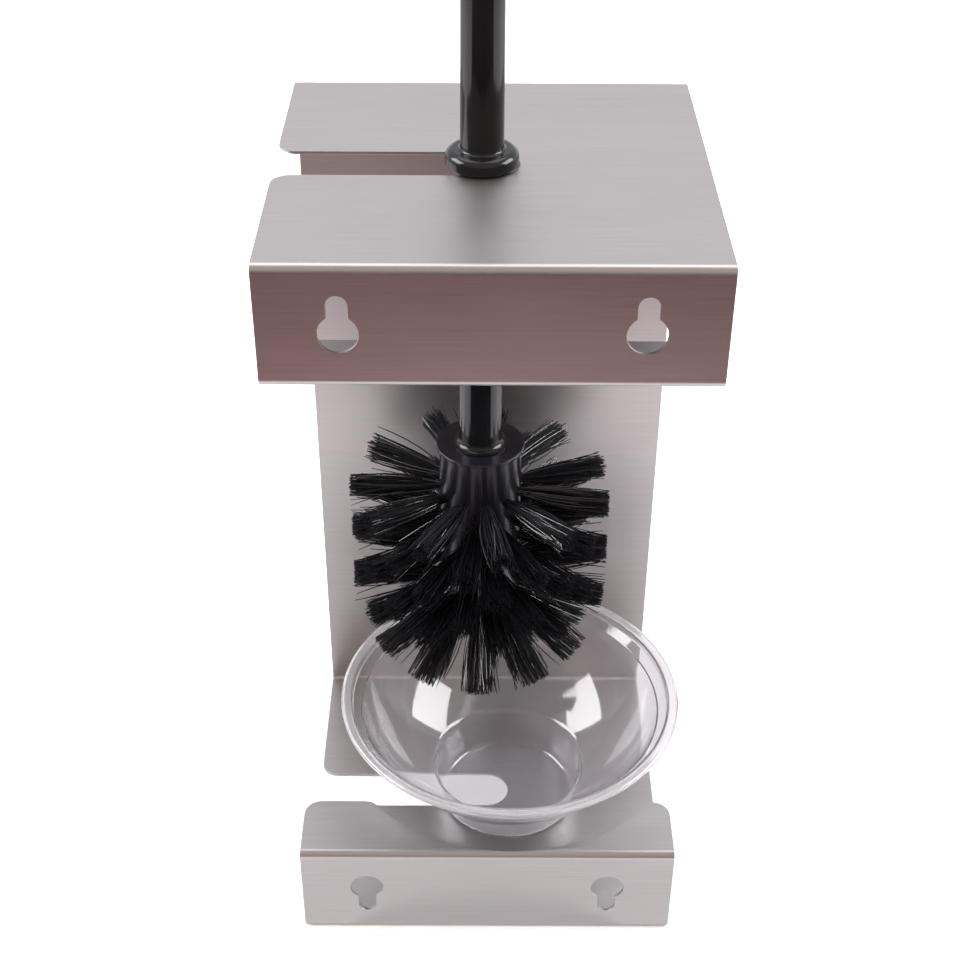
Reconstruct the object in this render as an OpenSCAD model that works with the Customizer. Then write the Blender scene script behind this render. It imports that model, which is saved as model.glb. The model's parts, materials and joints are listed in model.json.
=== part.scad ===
// Wall holder for a toilet brush: one bent sheet, a clear drip bowl and a tufted brush.
// Z is up. The wall side is +Y and the closed front panel faces -Y. The slots open towards +X.
// The origin lies in the underside of the bottom plate, on the axis of both slots' round ends.

/* [Bent sheet] */
// Width of the holder along X
holder_w = 120; // [100:1:160]
// Height of the holder
holder_h = 245; // [230:1:300]
// Thickness of the sheet
sheet_t = 1.0; // [0.8:0.1:2]
// Inner radius of every bend
bend_r = 1.3; // [0.8:0.1:3]
// Height of the two wall flanges
flange_h = 35; // [32:0.5:45]
// Depth of the folded lips, from the wall face
lip_d = 23; // [16:0.5:28]
// Corner radius of the lips
lip_corner_r = 5.5; // [2:0.5:8]
// Radius where the seat cut runs out into the lip's edge
lip_blend_r = 5; // [2:0.5:8]

/* [Slots] */
// Gap between the handle's thickest part and each edge of the slot
slot_gap = 1.35; // [0.5:0.05:3]
// Corner radius at the mouth of the slots
mouth_r = 5.5; // [2:0.5:8]

/* [Keyholes] */
// Diameter of the keyholes' round part
keyhole_d = 10.6; // [9:0.1:14]
// Width of the keyholes' slot
keyhole_slot_w = 5.6; // [4:0.1:7]
// Length of a keyhole from end to end
keyhole_l = 16.2; // [14:0.1:20]
// Distance between the two keyholes of a flange
keyhole_spacing = 78; // [60:1:90]
// Distance from the top or bottom face to the keyholes' round centres
keyhole_inset = 19.25; // [17:0.25:22]

/* [Drip bowl] */
// Outer diameter of the rim
bowl_d = 116; // [104:1:130]
// Height of the bowl
bowl_h = 48.5; // [42:0.5:52]
// Wall thickness of the bowl
bowl_t = 0.8; // [0.6:0.1:1.5]
// Place of the bowl's axis along X
bowl_x = -7.8; // [-10:0.1:0]
// Gap between the rim and the sheet, front and back
bowl_gap = 2; // [1:0.5:6]
// Gap between the rim's outline and the seat cut in the lower lip
seat_gap = 1.5; // [1:0.5:5]
// Width of the flat rim
rim_w = 3.1; // [2:0.1:5]
// Height of the rim's turned-down edge
rim_edge = 1.6; // [1.6:0.1:2.4]
// Height of the step below the flat rim
rim_step = 2.6; // [1.5:0.1:4]
// Width of the ledge inside the step
ledge_w = 3.3; // [2:0.1:5]
// Fall of the ledge
ledge_fall = 2.2; // [1:0.1:4]
// Diameter of the foot on the plate
foot_d = 48; // [36:1:56]
// Diameter of the foot's upper end
foot_top_d = 53; // [44:1:60]
// Height of the foot
foot_h = 14.5; // [8:0.5:20]
// Corner radius under the foot
foot_r = 1.6; // [1:0.1:3]

/* [Brush handle] */
// Place of the brush's axis along X, from the slot's round end
brush_x = 2.8; // [0:0.1:6]
// Length of the handle above the top plate
handle_up = 197; // [120:1:260]
// Length of the neck, from the top plate down to the head
neck_l = 92; // [88:1:96]
// Diameter of the handle at the head
handle_d = 12.8; // [11:0.1:16]
// Diameter of the handle at its top end
handle_top_d = 10.9; // [8:0.1:12]
// Overlap of the collar on each edge of the slot
collar_overlap = 2.5; // [1.5:0.1:5]
// Thickness of the collar
collar_h = 4.6; // [3.6:0.1:8]
// Radius of the collar's upper shoulder
collar_top_r = 2.4; // [1:0.1:2.5]
// Radius of the collar's lower edge
collar_low_r = 0.8; // [0.4:0.1:1.2]
// Fillet between the handle and its collar
collar_fillet = 0.9; // [0.4:0.1:2]
// Fillet between the handle and its shoulder
shoulder_fillet = 2.3; // [1:0.1:3]
// Height of the shoulder's edge
shoulder_edge = 0.4; // [0.3:0.1:1]
// Diameter of the screw spigot
spigot_d = 8; // [6:0.1:9]
// Length of the screw spigot
spigot_l = 16; // [10:1:18]

/* [Brush head] */
// Diameter of the head's body
head_d = 25.4; // [22:0.2:30]
// Overhang of the cap disc over the body
cap_overhang = 0.9; // [0.5:0.1:2]
// Thickness of the cap disc
cap_t = 1.2; // [0.8:0.1:3]
// Distance from the cap's top to the first row of tufts
first_row = 16.5; // [12:0.5:18]
// Radial clearance of the spigot in the head's socket
spigot_clear = 0.05; // [0.02:0.01:0.1]
// Depth of the socket past the spigot's end
socket_spare = 1; // [0.5:0.5:3]

/* [Tufts] */
// Radius of the brush across the bristle tips
brush_r = 41; // [36:0.5:44]
// Diameter of the drilled tuft holes
tuft_hole_d = 2.6; // [2.2:0.1:2.8]
// Depth of the tuft holes
tuft_hole_l = 5; // [4.5:0.1:5.5]
// Diameter of a tuft at its tip
tuft_tip_d = 8; // [5:0.5:9]
// Tufts in each ring around the body
ring_tufts = 11; // [6:1:11]
// Distance between the rings
ring_pitch = 8.5; // [8:0.1:9]
// Angle below the level of the upper row on the dome
upper_tilt = 34; // [30:1:38]
// Angle below the level of the lower row on the dome
lower_tilt = 62; // [58:1:64]
// Tufts in the lower row on the dome
lower_tufts = 6; // [4:1:6]
// Radial clearance of a tuft in its hole
tuft_clear = 0.05; // [0.03:0.01:0.1]
// Length of an anchor across the hole
anchor_l = 3.4; // [3.1:0.1:3.6]
// Height of an anchor along the hole
anchor_h = 1.6; // [1:0.1:2]
// Thickness of an anchor
anchor_t = 0.4; // [0.3:0.1:0.5]
// Distance from the hole's floor to the anchor
anchor_up = 0.8; // [0.6:0.1:1.2]
// Clearance around an anchor
anchor_clear = 0.05; // [0.03:0.01:0.1]

/* [Hidden] */
$fn = 96;
eps = 0.01;
cut = 2;

// The bent sheet's own places
holder_d = bowl_d + 2 * (bowl_gap + sheet_t);
wall_y = holder_d / 2;
outer_r = bend_r + sheet_t;
slot_w = handle_d + 2 * slot_gap;
seat_r = bowl_d / 2 + seat_gap;
lip_y = wall_y - lip_d;

// The bowl's wall is part of a sphere through the foot's upper end and the ledge's inner end
bowl_r = bowl_d / 2;
ledge_r = bowl_r - rim_w - ledge_w;
ledge_z = bowl_h - rim_step - ledge_fall - bowl_t;
foot_top_r = foot_top_d / 2;
sphere_z = (ledge_r ^ 2 - foot_top_r ^ 2 + ledge_z ^ 2 - foot_h ^ 2) / (2 * (ledge_z - foot_h));
sphere_r = sqrt(foot_top_r ^ 2 + (sphere_z - foot_h) ^ 2);

// The brush hangs by its collar on the top plate
collar_d = slot_w + 2 * collar_overlap;
collar_r = collar_d / 2;
cap_z = holder_h - neck_l;
handle_slope = (handle_d - handle_top_d) / 2 / (neck_l + handle_up);
socket_l = spigot_l + socket_spare;
head_r = head_d / 2;
ring_z = cap_z - first_row;
last_ring = 4;
dome_z = ring_z - last_ring * ring_pitch;
half_step = 180 / ring_tufts;

function handle_r(z) = handle_d / 2 - handle_slope * (z - cap_z);

// ---- bent sheet ----

// Square of one bend's size in the quadrant given by the signs
module quadrant(side_y, side_z) {
    translate([side_y > 0 ? 0 : -outer_r, side_z > 0 ? 0 : -outer_r])
        square(outer_r);
}

// Quarter of a bend around [y, z], in the quadrant given by the signs
module bend(y, z, side_y, side_z) {
    translate([y, z])
        intersection() {
            difference() {
                circle(r = outer_r);
                circle(r = bend_r);
            }
            quadrant(side_y, side_z);
        }
}

// Section of the lower half of the sheet: front panel, plate, wall flange and its lip
module half_section() {
    translate([-wall_y, outer_r])
        square([sheet_t, holder_h / 2 - outer_r]);
    bend(-wall_y + outer_r, outer_r, -1, -1);
    translate([-wall_y + outer_r, 0])
        square([holder_d - 2 * outer_r, sheet_t]);
    bend(wall_y - outer_r, outer_r, 1, -1);
    translate([wall_y - sheet_t, outer_r])
        square([sheet_t, flange_h - 2 * outer_r]);
    bend(wall_y - outer_r, flange_h - outer_r, 1, 1);
    translate([lip_y, flange_h - sheet_t])
        square([lip_d - outer_r, sheet_t]);
}

// The section lies in Y and Z and is extruded along X
module sheet_blank() {
    rotate([90, 0, 90])
        linear_extrude(holder_w, center = true)
            union() {
                half_section();
                translate([0, holder_h])
                    mirror([0, 1])
                        half_section();
            }
}

// Waste that rounds one side of a slot's mouth
module mouth_waste() {
    translate([holder_w / 2 - mouth_r, slot_w / 2])
        difference() {
            translate([0, -eps])
                square([mouth_r + cut, mouth_r + eps]);
            translate([0, mouth_r])
                circle(r = mouth_r);
        }
}

// Outline of a slot that is open at +X, with a rounded mouth
module slot_outline() {
    circle(d = slot_w);
    translate([0, -slot_w / 2])
        square([holder_w / 2 + cut, slot_w]);
    mouth_waste();
    mirror([0, 1])
        mouth_waste();
}

// One keyhole, with its slot pointing along +Y of the drawing
module keyhole_outline() {
    slot_top = keyhole_l - keyhole_d / 2 - keyhole_slot_w / 2;
    circle(d = keyhole_d);
    translate([-keyhole_slot_w / 2, 0])
        square([keyhole_slot_w, slot_top]);
    translate([0, slot_top])
        circle(d = keyhole_slot_w);
}

// Both keyholes of a flange, with their round centres at height z and the slots up or down
module keyhole_pair(z, slots_up) {
    for (x = [-1, 1] * keyhole_spacing / 2)
        translate([x, wall_y + cut, z])
            rotate([90, 0, 0])
                linear_extrude(sheet_t + 2 * cut)
                    mirror([0, slots_up ? 0 : 1])
                        keyhole_outline();
}

// Waste at the two outer corners of a lip
module lip_corners() {
    for (side = [0, 1])
        mirror([side, 0])
            translate([holder_w / 2 - lip_corner_r, lip_y + lip_corner_r])
                difference() {
                    translate([0, -lip_corner_r - cut])
                        square(lip_corner_r + cut);
                    circle(r = lip_corner_r);
                }
}

// Waste of the bowl's seat in the lower lip: a circle that runs out with a small radius
module seat_outline() {
    blend_y = lip_y + lip_blend_r;
    blend_x = sqrt((seat_r + lip_blend_r) ^ 2 - blend_y ^ 2);
    share = seat_r / (seat_r + lip_blend_r);
    translate([bowl_x, 0]) {
        circle(r = seat_r);
        for (side = [0, 1])
            mirror([side, 0])
                difference() {
                    polygon([[0, 0], [blend_x, lip_y - cut], [blend_x, blend_y],
                        [blend_x, blend_y] * share]);
                    translate([blend_x, blend_y])
                        circle(r = lip_blend_r);
                }
    }
}

module bent_holder() {
    color([0.70, 0.69, 0.68])
        difference() {
            sheet_blank();
            for (z = [0, holder_h - sheet_t])
                translate([0, 0, z - cut])
                    linear_extrude(sheet_t + 2 * cut)
                        slot_outline();
            keyhole_pair(keyhole_inset, false);
            keyhole_pair(holder_h - keyhole_inset, true);
            for (z = [flange_h - outer_r, holder_h - flange_h - cut])
                translate([0, 0, z])
                    linear_extrude(outer_r + cut)
                        lip_corners();
            translate([0, 0, flange_h - outer_r])
                linear_extrude(outer_r + cut)
                    seat_outline();
        }
}

// ---- drip bowl ----

// Half section of the bowl's outside, or of its inside when moved in by the wall
module bowl_form(inset) {
    base_r = foot_d / 2;
    step_r = bowl_r - rim_w;
    foot_lean = (foot_top_r - base_r) / (foot_h - foot_r);
    ledge_slope = ledge_fall / ledge_w;
    ledge_rise = inset * (sqrt(1 + ledge_slope ^ 2) - ledge_slope);
    // foot with a rounded lower corner, which reaches a little way up into the round wall
    polygon([[0, inset], [base_r - foot_r, inset], [base_r - inset, foot_r],
        [foot_top_r - inset + foot_lean * foot_r, foot_h + foot_r], [0, foot_h + foot_r]]);
    translate([base_r - foot_r, foot_r])
        circle(r = foot_r - inset);
    // round wall
    intersection() {
        translate([0, sphere_z])
            circle(r = sphere_r - inset, $fn = 180);
        translate([0, foot_h / 2])
            square([bowl_r, ledge_z + ledge_fall - foot_h / 2]);
    }
    // ledge and step; the ledge's slope starts inside the round wall
    polygon([[0, ledge_z - ledge_fall + ledge_rise],
        [ledge_r - ledge_w - inset, ledge_z - ledge_fall + ledge_rise],
        [step_r - inset, ledge_z + ledge_fall + ledge_rise],
        [step_r - inset, bowl_h + inset], [0, bowl_h + inset]]);
}

// Half section of the flat rim and its turned-down edge
module rim_form() {
    translate([0, bowl_h - bowl_t])
        square([bowl_r, bowl_t]);
    translate([bowl_r - bowl_t, bowl_h - rim_edge])
        square([bowl_t, rim_edge]);
}

module drip_bowl() {
    color([0.85, 0.86, 0.88, 0.4])
        translate([bowl_x, 0, sheet_t])
            rotate_extrude()
                difference() {
                    union() {
                        bowl_form(0);
                        rim_form();
                    }
                    bowl_form(bowl_t);
                }
}

// ---- handle ----

// Concave fillet of radius r on a vertical wall at x, standing on height z
module fillet(x, z, r) {
    translate([x, z])
        difference() {
            translate([-r, 0])
                square([2 * r, r]);
            translate([r, r])
                circle(r = r);
        }
}

// Half section of the collar, which stands on the top plate
module collar_form() {
    low_x = collar_r - collar_low_r;
    top_x = collar_r - collar_top_r;
    top_z = collar_h - collar_top_r;
    polygon([[0, 0], [low_x, 0], [collar_r, collar_low_r], [collar_r, top_z], [top_x, collar_h],
        [0, collar_h]]);
    translate([low_x, collar_low_r])
        circle(r = collar_low_r);
    translate([top_x, top_z])
        intersection() {
            circle(r = collar_top_r);
            square(collar_top_r);
        }
    fillet(handle_r(holder_h + collar_h), collar_h, collar_fillet);
}

// Half section of the shoulder, which seats on the head's cap
module shoulder_form() {
    square([handle_d / 2 + shoulder_fillet, shoulder_edge]);
    fillet(handle_r(cap_z), shoulder_edge, shoulder_fillet);
}

module handle() {
    top_r = handle_top_d / 2;
    top_z = holder_h + handle_up - top_r;
    spigot_r = spigot_d / 2;
    color([0.03, 0.03, 0.035])
        translate([brush_x, 0, 0])
            rotate_extrude()
                union() {
                    polygon([[0, cap_z - spigot_l], [spigot_r - 1, cap_z - spigot_l],
                        [spigot_r, cap_z - spigot_l + 1], [spigot_r, cap_z], [handle_d / 2, cap_z],
                        [top_r, top_z], [0, top_z]]);
                    translate([0, top_z])
                        intersection() {
                            circle(r = top_r);
                            square(top_r);
                        }
                    translate([0, holder_h])
                        collar_form();
                    translate([0, cap_z])
                        shoulder_form();
                }
}

// ---- brush head ----

// Puts its child at a tuft: +Z points out along the tuft, from the axis or the dome's centre
module at_tuft(height, tilt, angle) {
    translate([brush_x, 0, height])
        rotate([0, 90 + tilt, angle])
            children();
}

// Places its child once for every tuft of a ring; ring 0 is the uppermost
module each_in_ring(ring) {
    for (i = [0:ring_tufts - 1])
        at_tuft(ring_z - ring * ring_pitch, 0, (2 * i + ring % 2) * half_step)
            children();
}

// Places its child once for every tuft of a row on the dome; the first one points to the wall
module each_on_dome(tilt, count) {
    for (i = [0:count - 1])
        at_tuft(dome_z, tilt, 90 + i * 360 / count)
            rotate(90)
                children();
}

// The one tuft at the lowest point
module at_tip() {
    at_tuft(dome_z, 90, 0)
        children();
}

// One bundle of bristles, with the slit for its anchor
module tuft() {
    root_r = tuft_hole_d / 2 - tuft_clear;
    root_z = head_r - tuft_hole_l;
    color([0.04, 0.04, 0.045])
        difference() {
            union() {
                translate([0, 0, root_z])
                    cylinder(r = root_r, h = tuft_hole_l);
                translate([0, 0, head_r])
                    cylinder(r1 = root_r, r2 = tuft_tip_d / 2, h = brush_r - head_r);
            }
            anchor_block(tuft_hole_d + cut, anchor_clear);
        }
}

// Block of an anchor's size at its place in the hole, grown by a clearance
module anchor_block(length, grow) {
    root_z = head_r - tuft_hole_l;
    translate([-length / 2, -anchor_t / 2 - grow, root_z + anchor_up - grow])
        cube([length, anchor_t + 2 * grow, anchor_h + 2 * grow]);
}

// The metal anchor that holds a bundle in its hole
module anchor() {
    color([0.75, 0.70, 0.55])
        anchor_block(anchor_l, 0);
}

// Hole of one tuft with the notches that its anchor bites
module tuft_hole() {
    translate([0, 0, head_r - tuft_hole_l])
        cylinder(d = tuft_hole_d, h = tuft_hole_l + cut);
    anchor_block(anchor_l + 2 * anchor_clear, anchor_clear);
}

module brush_head() {
    color([0.03, 0.03, 0.035])
        difference() {
            translate([brush_x, 0, 0])
                rotate_extrude()
                    union() {
                        translate([0, dome_z])
                            intersection() {
                                circle(r = head_r);
                                translate([0, -head_r])
                                    square(head_r);
                            }
                        translate([0, dome_z])
                            square([head_r, cap_z - dome_z]);
                        translate([0, cap_z - cap_t])
                            square([head_r + cap_overhang, cap_t]);
                    }
            translate([brush_x, 0, cap_z - socket_l])
                cylinder(d = spigot_d + 2 * spigot_clear, h = socket_l + cut);
            for (ring = [0:last_ring])
                each_in_ring(ring)
                    tuft_hole();
            each_on_dome(upper_tilt, ring_tufts)
                tuft_hole();
            each_on_dome(lower_tilt, lower_tufts)
                tuft_hole();
            at_tip()
                tuft_hole();
        }
}

module tufts_ring(number) {
    each_in_ring(number - 1)
        tuft();
}

module tufts_dome_upper() {
    each_on_dome(upper_tilt, ring_tufts)
        tuft();
}

module tufts_dome_lower() {
    each_on_dome(lower_tilt, lower_tufts)
        tuft();
}

module tuft_tip() {
    at_tip()
        tuft();
}

module anchors_ring(number) {
    each_in_ring(number - 1)
        anchor();
}

module anchors_dome_upper() {
    each_on_dome(upper_tilt, ring_tufts)
        anchor();
}

module anchors_dome_lower() {
    each_on_dome(lower_tilt, lower_tufts)
        anchor();
}

module anchor_tip() {
    at_tip()
        anchor();
}

bent_holder();
drip_bowl();
handle();
brush_head();
tufts_ring(1);  // tufts_ring_1
tufts_ring(2);  // tufts_ring_2
tufts_ring(3);  // tufts_ring_3
tufts_ring(4);  // tufts_ring_4
tufts_ring(5);  // tufts_ring_5
tufts_dome_upper();
tufts_dome_lower();
tuft_tip();
anchors_ring(1);  // anchors_ring_1
anchors_ring(2);  // anchors_ring_2
anchors_ring(3);  // anchors_ring_3
anchors_ring(4);  // anchors_ring_4
anchors_ring(5);  // anchors_ring_5
anchors_dome_upper();
anchors_dome_lower();
anchor_tip();
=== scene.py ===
"""Looks of a wall-hung toilet brush set: bent holder, clear drip bowl, black handle and tufted head."""

import json
import math

import bmesh
import bpy
import numpy as np
from mathutils import Matrix, Vector

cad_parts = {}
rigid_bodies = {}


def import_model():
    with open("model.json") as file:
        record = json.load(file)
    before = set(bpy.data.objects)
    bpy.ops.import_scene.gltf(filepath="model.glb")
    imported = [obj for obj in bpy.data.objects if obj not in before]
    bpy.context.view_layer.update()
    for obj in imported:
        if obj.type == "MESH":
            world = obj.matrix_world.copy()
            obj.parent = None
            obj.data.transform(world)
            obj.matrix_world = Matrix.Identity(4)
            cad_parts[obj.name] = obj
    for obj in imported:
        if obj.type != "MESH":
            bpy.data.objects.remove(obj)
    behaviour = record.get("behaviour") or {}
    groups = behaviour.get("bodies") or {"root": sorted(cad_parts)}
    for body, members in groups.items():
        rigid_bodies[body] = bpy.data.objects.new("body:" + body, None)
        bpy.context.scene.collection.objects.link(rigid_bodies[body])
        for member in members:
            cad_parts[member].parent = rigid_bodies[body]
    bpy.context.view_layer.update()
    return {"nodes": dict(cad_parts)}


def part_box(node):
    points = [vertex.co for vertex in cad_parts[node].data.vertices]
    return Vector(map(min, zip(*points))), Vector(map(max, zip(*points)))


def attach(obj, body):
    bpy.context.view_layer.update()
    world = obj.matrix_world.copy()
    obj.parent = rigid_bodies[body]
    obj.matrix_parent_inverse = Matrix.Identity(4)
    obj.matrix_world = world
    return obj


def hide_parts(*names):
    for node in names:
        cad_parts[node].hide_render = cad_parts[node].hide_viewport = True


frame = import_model()

bl_info = {
    "name": "Toilet Brush Set",
    "version": (1, 0, 0),
    "blender": (4, 5, 0),
    "location": "View3D > Sidebar > Brush Set",
    "description": "Builds the visible pieces of a wall-hung toilet brush set around its packed frame",
    "category": "Object",
}

MM = 0.001
FLOOR_SINK = 0.0001
FLANGE_HEIGHT = 35 * MM
CREASE = math.radians(34)
SHARP_EDGE = math.radians(40)
FLAT_EDGE = math.radians(0.2)

# Collar, shoulder and spigot of the handle
COLLAR_CLEARANCE = 0.04 * MM
COLLAR_LOW_RADIUS = 0.8 * MM
COLLAR_FILLET = 0.9 * MM
SHOULDER_FILLET = 2.3 * MM
SHOULDER_EDGE = 0.4 * MM
SHOULDER_CHAMFER = 0.12 * MM
SPIGOT_CHAMFER = 1.0 * MM
THREAD_ROWS = 84
THREAD_DEPTH = 0.55 * MM

# Layout and shape of the tufts
RING_TUFTS = 11
DOME_ROWS = {"tufts_dome_upper": (math.radians(34), 11), "tufts_dome_lower": (math.radians(62), 6)}
GOLDEN_ANGLE = 2.39996
STRAY_SHARE = 0.06
SHORT_SHARE = 0.1
GLOSSY_SHARE = 0.17
TUBE_SIDES = 4
TUBE_END_TAPER = 0.72

# Name, index of refraction, specular level, lowest and highest roughness of each bristle finish
BRISTLE_FINISHES = (
    ("Bristle_nylon", 1.53, 0.09, 0.27, 0.38),
    ("Bristle_cut_end", 1.53, 0.04, 0.5, 0.7),
    ("Bristle_glossy", 1.8, 1.0, 0.08, 0.15),
)

# Colours that the floor cards glow with: painted light from cards that are no lamps, seen in reflections
# and, for some, through clear plastic
PALE_GLOW = (1.0, 0.955, 0.965)
WARM_GLOW = (0.485, 0.18, 0.175)
DARK_GLOW = (0.17, 0.115, 0.11)

# Places that come from the packed frame
sheet_low, sheet_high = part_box("bent_holder")
bowl_low, bowl_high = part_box("drip_bowl")
handle_low, handle_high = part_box("handle")
head_low, head_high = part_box("brush_head")
ring_nodes = ["tufts_ring_1", "tufts_ring_2", "tufts_ring_3", "tufts_ring_4", "tufts_ring_5"]
ring_heights = [sum(corner.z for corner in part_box("anchors_ring_%d" % (n + 1))) / 2 for n in range(5)]
brush_axis_x = (handle_low.x + handle_high.x) / 2
bowl_axis_x = (bowl_low.x + bowl_high.x) / 2


# ---------------------------------------------------------------- settings


class SheetSettings(bpy.types.PropertyGroup):
    """Sizes and finish of the bent steel sheet."""

    thickness: bpy.props.FloatProperty(
        name="Thickness", description="Thickness of the sheet", default=1 * MM, min=0.0005,
        unit="LENGTH")
    bend: bpy.props.FloatProperty(
        name="Outer bend", description="Outer radius of every bend", default=2.3 * MM, min=0.001,
        unit="LENGTH")
    deburr: bpy.props.FloatProperty(
        name="Deburring", description="Width of the rounding on every cut edge", default=0.14 * MM,
        min=0.0, unit="LENGTH")
    light_steel: bpy.props.FloatVectorProperty(
        name="Light lines", description="Colour of the lighter brush lines", subtype="COLOR",
        default=(0.59, 0.572, 0.577), min=0.0, max=1.0)
    dark_steel: bpy.props.FloatVectorProperty(
        name="Dark lines", description="Colour of the darker brush lines", subtype="COLOR",
        default=(0.47, 0.456, 0.461), min=0.0, max=1.0)


class BowlSettings(bpy.types.PropertyGroup):
    """Sizes and finish of the clear drip bowl."""

    wall: bpy.props.FloatProperty(
        name="Wall", description="Wall thickness", default=0.8 * MM, min=0.0004, unit="LENGTH")
    foot_radius: bpy.props.FloatProperty(
        name="Foot radius", description="Radius of the foot on the plate", default=24 * MM,
        unit="LENGTH")
    foot_top_radius: bpy.props.FloatProperty(
        name="Foot top radius", description="Radius where the foot meets the round wall",
        default=26.5 * MM, unit="LENGTH")
    foot_height: bpy.props.FloatProperty(
        name="Foot height", description="Height of the foot", default=14.5 * MM, unit="LENGTH")
    rim_width: bpy.props.FloatProperty(
        name="Rim width", description="Width of the flat rim", default=3.1 * MM, unit="LENGTH")
    rim_edge: bpy.props.FloatProperty(
        name="Rim edge", description="Height of the turned-down edge", default=1.6 * MM,
        unit="LENGTH")
    step: bpy.props.FloatProperty(
        name="Step", description="Height of the step below the rim", default=2.6 * MM,
        unit="LENGTH")
    ledge_width: bpy.props.FloatProperty(
        name="Ledge width", description="Width of the ledge inside the step", default=3.3 * MM,
        unit="LENGTH")
    ledge_fall: bpy.props.FloatProperty(
        name="Ledge fall", description="Fall of the ledge", default=2.2 * MM, unit="LENGTH")
    tint: bpy.props.FloatVectorProperty(
        name="Tint", description="Colour of the clear plastic", subtype="COLOR",
        default=(0.905, 0.89, 0.935), min=0.0, max=1.0)


class HandleSettings(bpy.types.PropertyGroup):
    """Sizes and finish of the handle and of the head's core."""

    plate_top: bpy.props.FloatProperty(
        name="Plate top", description="Height of the face that the collar stands on",
        default=sheet_high.z, unit="LENGTH")
    collar_height: bpy.props.FloatProperty(
        name="Collar height", description="Thickness of the collar", default=4.6 * MM,
        unit="LENGTH")
    collar_shoulder: bpy.props.FloatProperty(
        name="Collar shoulder", description="Radius of the collar's upper edge",
        default=2.4 * MM, unit="LENGTH")
    lower_radius: bpy.props.FloatProperty(
        name="Lower radius", description="Radius of the handle at the head", default=6.4 * MM,
        unit="LENGTH")
    upper_radius: bpy.props.FloatProperty(
        name="Upper radius", description="Radius of the handle at its top end", default=5.45 * MM,
        unit="LENGTH")
    spigot_radius: bpy.props.FloatProperty(
        name="Spigot radius", description="Radius of the screw spigot", default=4 * MM,
        unit="LENGTH")
    thread_pitch: bpy.props.FloatProperty(
        name="Thread pitch", description="Pitch of the spigot's thread", default=2 * MM,
        unit="LENGTH")
    black: bpy.props.FloatVectorProperty(
        name="Black", description="Colour of the moulded plastic", subtype="COLOR",
        default=(0.0045, 0.0046, 0.006), min=0.0, max=1.0)


class TuftSettings(bpy.types.PropertyGroup):
    """Bristles of the brush."""

    bristles: bpy.props.IntProperty(
        name="Bristles", description="Bristles in one tuft", default=130, min=8, max=200)
    thickness: bpy.props.FloatProperty(
        name="Bristle thickness", description="Diameter of one bristle", default=0.33 * MM,
        unit="LENGTH")
    reach: bpy.props.FloatProperty(
        name="Reach", description="Distance of the trimmed tips from the brush's axis",
        default=41 * MM, unit="LENGTH")
    core_radius: bpy.props.FloatProperty(
        name="Core radius", description="Radius of the head's body",
        default=(head_high.x - head_low.x) / 2 - 0.9 * MM,
        unit="LENGTH")
    hole_depth: bpy.props.FloatProperty(
        name="Hole depth", description="Depth of the drilled holes", default=5 * MM,
        unit="LENGTH")
    root_radius: bpy.props.FloatProperty(
        name="Root radius", description="Radius of a tuft in its hole", default=1.15 * MM,
        unit="LENGTH")
    tip_radius: bpy.props.FloatProperty(
        name="Tip radius", description="Radius of a tuft at its tips", default=3.8 * MM,
        unit="LENGTH")
    dome_tip_radius: bpy.props.FloatProperty(
        name="Dome tip radius", description="Radius at its tips of a tuft on the dome",
        default=4.5 * MM, unit="LENGTH")
    seed: bpy.props.IntProperty(
        name="Seed", description="Start of the random spread", default=7, min=0)
    colour: bpy.props.FloatVectorProperty(
        name="Colour", description="Colour of the bristles", subtype="COLOR",
        default=(0.0078, 0.0075, 0.0108), min=0.0, max=1.0)


class StageSettings(bpy.types.PropertyGroup):
    """Floor, lights and camera."""

    floor_colour: bpy.props.FloatVectorProperty(
        name="Floor", description="Colour of the floor", subtype="COLOR",
        default=(0.86, 0.86, 0.86), min=0.0, max=1.0)
    box_distance: bpy.props.FloatProperty(
        name="Box distance", description="Distance of the side soft boxes", default=1.3,
        unit="LENGTH")
    box_power: bpy.props.FloatProperty(
        name="Box power", description="Power of each side soft box", default=14.0, unit="POWER")
    top_power: bpy.props.FloatProperty(
        name="Overhead power", description="Power of the overhead soft box", default=11.5,
        unit="POWER")
    fill_power: bpy.props.FloatProperty(
        name="Fill power", description="Power of the wide light that evens out the floor",
        default=80.0, unit="POWER")
    sky: bpy.props.FloatProperty(
        name="Room light", description="Strength of the light from the room", default=0.9, min=0.0)
    lens: bpy.props.FloatProperty(
        name="Lens", description="Focal length of the camera on a 36 mm frame, in millimetres",
        default=60.459, min=10.0)
    azimuth: bpy.props.FloatProperty(
        name="Azimuth", description="Direction that the camera looks in, from +X",
        default=math.radians(-90.130), subtype="ANGLE")
    elevation: bpy.props.FloatProperty(
        name="Elevation", description="Angle by which the camera looks down",
        default=math.radians(35.173), subtype="ANGLE")
    roll: bpy.props.FloatProperty(
        name="Roll", description="Turn of the camera about its own line of sight",
        default=math.radians(0.3215), subtype="ANGLE")
    distance: bpy.props.FloatProperty(
        name="Distance", description="Distance of the camera from the point that it aims at",
        default=0.50529, unit="LENGTH")
    aim: bpy.props.FloatVectorProperty(
        name="Aim", description="Point that the camera aims at", subtype="XYZ", unit="LENGTH",
        default=(2.857 * MM, 0.0, 138.388 * MM))


# ---------------------------------------------------------------- shared helpers


def settings(name):
    return getattr(bpy.context.scene, name)


def new_piece(name, mesh, body, slot, *nodes):
    """Puts a mesh in the scene, on its body, and hides the packed nodes that it stands for."""
    piece = bpy.data.objects.new(name, mesh)
    bpy.context.scene.collection.objects.link(piece)
    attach(piece, body)
    if nodes:
        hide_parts(*nodes)
    return piece


def mesh_from(name, places, faces):
    mesh = bpy.data.meshes.new(name)
    mesh.from_pydata(places, [], faces)
    mesh.update()
    return mesh


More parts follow.
